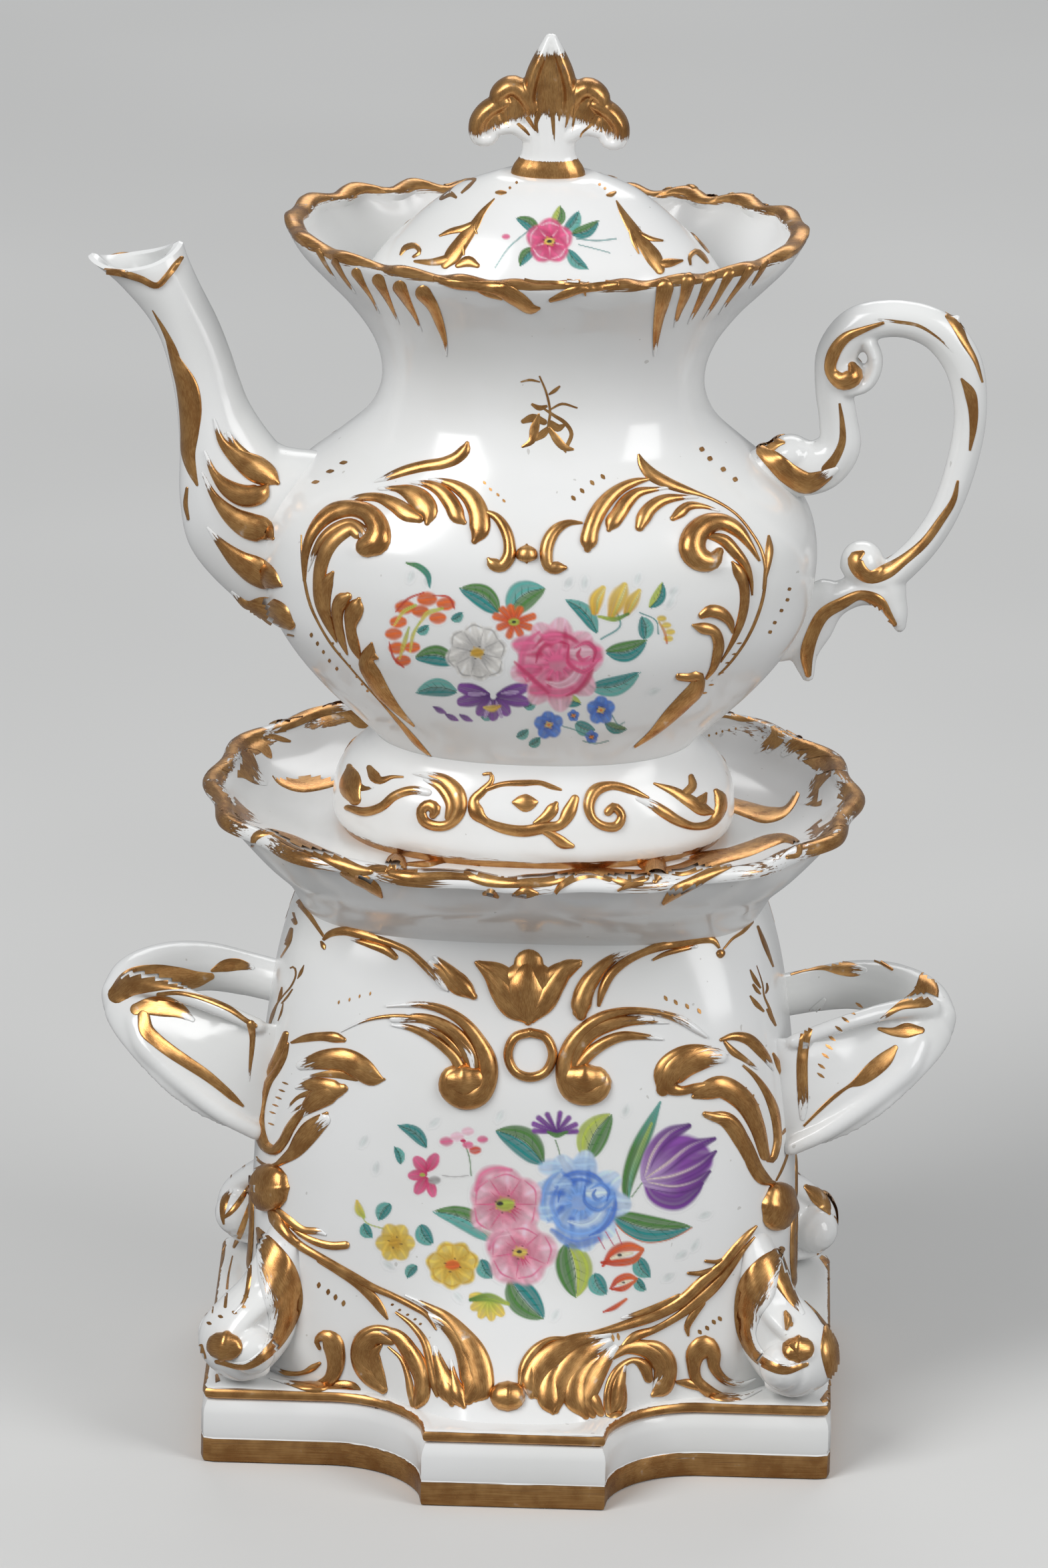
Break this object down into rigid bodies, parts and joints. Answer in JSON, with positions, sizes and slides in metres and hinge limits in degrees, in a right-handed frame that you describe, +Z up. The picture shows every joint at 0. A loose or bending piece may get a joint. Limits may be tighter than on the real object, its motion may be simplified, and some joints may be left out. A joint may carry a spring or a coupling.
{
  "type": "porcelain veilleuse",
  "caption": "Porcelain tea warmer: spouted teapot with lid on a lobed dish, over a hollow plinthed stand that holds a small oil lamp.",
  "frame": {"origin": "middle of the plinth's underside", "axes": "+Z up, -Y towards the painted front, +X towards the teapot's handle"},
  "size_m": [0.2028, 0.141, 0.33],
  "materials": {
    "glazed_porcelain": "glossy white glaze with gilding and enamel flowers",
    "gilding": "burnished gilding",
    "tinned_brass": "satin",
    "cotton_wick": "braided cotton"
  },
  "bodies": {
    "stand": {"stand_plinth": "glazed_porcelain", "stand_body": "glazed_porcelain", "corner_scroll_front_left": "glazed_porcelain", "corner_scroll_front_right": "glazed_porcelain", "corner_scroll_back_left": "glazed_porcelain", "corner_scroll_back_right": "glazed_porcelain", "side_handle_left": "glazed_porcelain", "side_handle_right": "glazed_porcelain"},
    "dish": {"dish": "glazed_porcelain"},
    "teapot": {"teapot_foot": "glazed_porcelain", "teapot_body": "glazed_porcelain", "teapot_spout": "glazed_porcelain", "teapot_handle": "glazed_porcelain"},
    "lid": {"lid_dome": "glazed_porcelain", "lid_finial": "glazed_porcelain"},
    "lamp": {"lamp_cup": "glazed_porcelain", "lamp_cup_handle": "glazed_porcelain"},
    "lamp_cover": {"lamp_cover": "glazed_porcelain", "wick_tube": "tinned_brass", "wick": "cotton_wick"}
  },
  "joints": [
    {"name": "dish_lift", "type": "slide", "parent": "stand", "child": "dish", "axis": [0, 0, 1], "range_m": [0, 0.06]},
    {"name": "teapot_lift", "type": "slide", "parent": "dish", "child": "teapot", "axis": [0, 0, 1], "range_m": [0, 0.06]},
    {"name": "lid_lift", "type": "slide", "parent": "teapot", "child": "lid", "axis": [0, 0, 1], "range_m": [0, 0.06]},
    {"name": "lamp_slide", "type": "slide", "parent": "stand", "child": "lamp", "axis": [0, 1, 0], "range_m": [0, 0.13]},
    {"name": "lamp_cover_lift", "type": "slide", "parent": "lamp", "child": "lamp_cover", "axis": [0, 0, 1], "range_m": [0, 0.032]}
  ]
}
